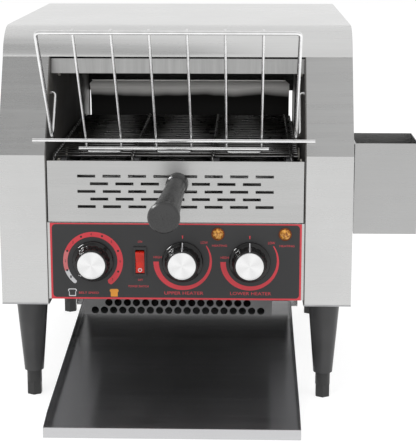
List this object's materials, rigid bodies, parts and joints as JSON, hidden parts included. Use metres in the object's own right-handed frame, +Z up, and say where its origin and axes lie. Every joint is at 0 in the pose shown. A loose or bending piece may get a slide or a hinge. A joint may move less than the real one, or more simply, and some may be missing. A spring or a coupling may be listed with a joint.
{
  "type": "conveyor toaster",
  "caption": "Counter-top conveyor toaster: steel tunnel over a wire belt, sloping wire feed rack, knob panel, crumb drawer, toast tray below and tapered legs.",
  "frame": {"origin": "middle of the whole toaster's footprint on the counter, with the tray, feed rack and side bin in it", "axes": "+X to the right seen from the front, +Y from the front to the rear, +Z up"},
  "size_m": [0.44, 0.524, 0.4094],
  "materials": {
    "cover_steel": "fine brushed stainless sheet",
    "roof_steel": "fine brushed stainless sheet",
    "panel_steel": "brushed stainless sheet",
    "oven_steel": "heat-tinted steel sheet",
    "tray_steel": "polished dark-reflecting stainless sheet",
    "guard_steel": "grey painted sheet",
    "wire_steel": "polished wire",
    "belt_steel": "bright wire",
    "shaft_steel": "turned steel",
    "wheel_iron": "dark cast",
    "bearing_brass": "oiled bronze",
    "heater_tube": "heat-darkened tube",
    "bush_ceramic": "matt",
    "overlay_film": "satin printed film",
    "knob_black": "gloss",
    "knob_metal": "fine turned",
    "lens_orange": "translucent, domed",
    "rocker_red": "gloss",
    "switch_black": "moulded",
    "handle_grey": "satin moulded",
    "leg_metal": "satin dark",
    "foot_metal": "satin black",
    "motor_metal": "cast",
    "fan_plastic": "moulded",
    "gland_plastic": "moulded"
  },
  "bodies": {
    "body": {"left_side_cover": "cover_steel", "right_side_cover": "cover_steel", "left_inner_wall": "oven_steel", "right_inner_wall": "oven_steel", "roof_cover": "roof_steel", "rear_panel": "cover_steel", "base_plate": "guard_steel", "compartment_cover": "panel_steel", "control_panel": "panel_steel", "panel_overlay": "overlay_film", "header_panel": "panel_steel", "upper_reflector": "oven_steel", "rear_deflector": "panel_steel", "toast_chute": "panel_steel", "upper_heaters": "heater_tube", "lower_heaters": "heater_tube", "heater_bushes": "bush_ceramic", "air_intake_guard": "guard_steel", "tray_rails": "panel_steel", "conveyor_belt": "belt_steel", "shaft_bearings": "bearing_brass", "drive_chain": "shaft_steel", "gear_motor": "motor_metal", "fan_frame": "fan_plastic", "switch_housing": "switch_black", "speed_control": "motor_metal", "heat_regulators": "switch_black", "indicator_lamps": "lens_orange", "legs": "leg_metal", "bin_bracket": "panel_steel", "cable_gland": "gland_plastic", "cover_screws": "panel_steel"},
    "crumb_drawer": {"drawer_front": "cover_steel", "crumb_pan": "panel_steel", "drawer_handle": "handle_grey"},
    "catch_tray": {"toast_tray": "tray_steel"},
    "feed_rack": {"rack_frame": "wire_steel", "rack_slats": "wire_steel"},
    "speed_dial": {"speed_knob": "knob_black", "speed_knob_cap": "knob_metal", "speed_spindle": "bearing_brass"},
    "upper_heat_dial": {"upper_heat_knob": "knob_black", "upper_heat_knob_cap": "knob_metal", "upper_heat_spindle": "bearing_brass"},
    "lower_heat_dial": {"lower_heat_knob": "knob_black", "lower_heat_knob_cap": "knob_metal", "lower_heat_spindle": "bearing_brass"},
    "rocker": {"switch_rocker": "rocker_red"},
    "front_roller": {"front_shaft": "shaft_steel", "front_belt_wheels": "wheel_iron"},
    "rear_roller": {"rear_shaft": "shaft_steel", "rear_belt_wheels": "wheel_iron", "driven_sprocket": "shaft_steel"},
    "motor_rotor": {"motor_sprocket": "shaft_steel"},
    "fan_rotor": {"fan_impeller": "fan_plastic"},
    "bin": {"side_bin": "cover_steel"},
    "foot_front_left": {"front_left_foot": "foot_metal"},
    "foot_front_right": {"front_right_foot": "foot_metal"},
    "foot_rear_left": {"rear_left_foot": "foot_metal"},
    "foot_rear_right": {"rear_right_foot": "foot_metal"}
  },
  "joints": [
    {"name": "crumb_drawer_slide", "type": "slide", "parent": "body", "child": "crumb_drawer", "axis": [0, -1, 0], "range_m": [0, 0.25]},
    {"name": "toast_tray_slide", "type": "slide", "parent": "body", "child": "catch_tray", "axis": [0, -1, 0], "range_m": [0, 0.1]},
    {"name": "feed_rack_tilt", "type": "hinge", "parent": "body", "child": "feed_rack", "pos_m": [-0.036, -0.114, 0.331], "axis": [-1, 0, 0], "range_deg": [0, 60]},
    {"name": "speed_turn", "type": "hinge", "parent": "body", "child": "speed_dial", "pos_m": [-0.1228, -0.16, 0.1597], "axis": [0, 1, 0], "range_deg": [0, 270]},
    {"name": "upper_heat_turn", "type": "hinge", "parent": "body", "child": "upper_heat_dial", "pos_m": [-0.0288, -0.16, 0.1597], "axis": [0, 1, 0], "range_deg": [0, 300]},
    {"name": "lower_heat_turn", "type": "hinge", "parent": "body", "child": "lower_heat_dial", "pos_m": [0.0414, -0.16, 0.1597], "axis": [0, 1, 0], "range_deg": [0, 300]},
    {"name": "rocker_tilt", "type": "hinge", "parent": "body", "child": "rocker", "pos_m": [-0.0735, -0.156, 0.1597], "axis": [-1, 0, 0], "range_deg": [0, 16]},
    {"name": "rear_roller_turn", "type": "hinge", "parent": "body", "child": "rear_roller", "pos_m": [-0.036, 0.14, 0.245], "axis": [-1, 0, 0], "continuous": true},
    {"name": "front_roller_turn", "type": "hinge", "parent": "body", "child": "front_roller", "pos_m": [-0.036, -0.13, 0.245], "axis": [-1, 0, 0], "continuous": true},
    {"name": "motor_turn", "type": "hinge", "parent": "body", "child": "motor_rotor", "pos_m": [0.1112, 0.07, 0.16], "axis": [-1, 0, 0], "continuous": true},
    {"name": "fan_turn", "type": "hinge", "parent": "body", "child": "fan_rotor", "pos_m": [0.019, -0.048, 0.12], "axis": [0, 0, 1], "continuous": true},
    {"name": "bin_lift", "type": "slide", "parent": "body", "child": "bin", "axis": [0, 0, 1], "range_m": [0, 0.06]},
    {"name": "front_left_foot_turn", "type": "hinge", "parent": "body", "child": "foot_front_left", "pos_m": [-0.194, -0.122, 0], "axis": [0, 0, 1], "continuous": true},
    {"name": "front_right_foot_turn", "type": "hinge", "parent": "body", "child": "foot_front_right", "pos_m": [0.122, -0.122, 0], "axis": [0, 0, 1], "continuous": true},
    {"name": "rear_left_foot_turn", "type": "hinge", "parent": "body", "child": "foot_rear_left", "pos_m": [-0.194, 0.196, 0], "axis": [0, 0, 1], "continuous": true},
    {"name": "rear_right_foot_turn", "type": "hinge", "parent": "body", "child": "foot_rear_right", "pos_m": [0.122, 0.196, 0], "axis": [0, 0, 1], "continuous": true}
  ],
  "couplings": [
    {"joint": "front_roller_turn", "follows": "rear_roller_turn", "ratio": 1},
    {"joint": "motor_turn", "follows": "rear_roller_turn", "ratio": 1}
  ]
}
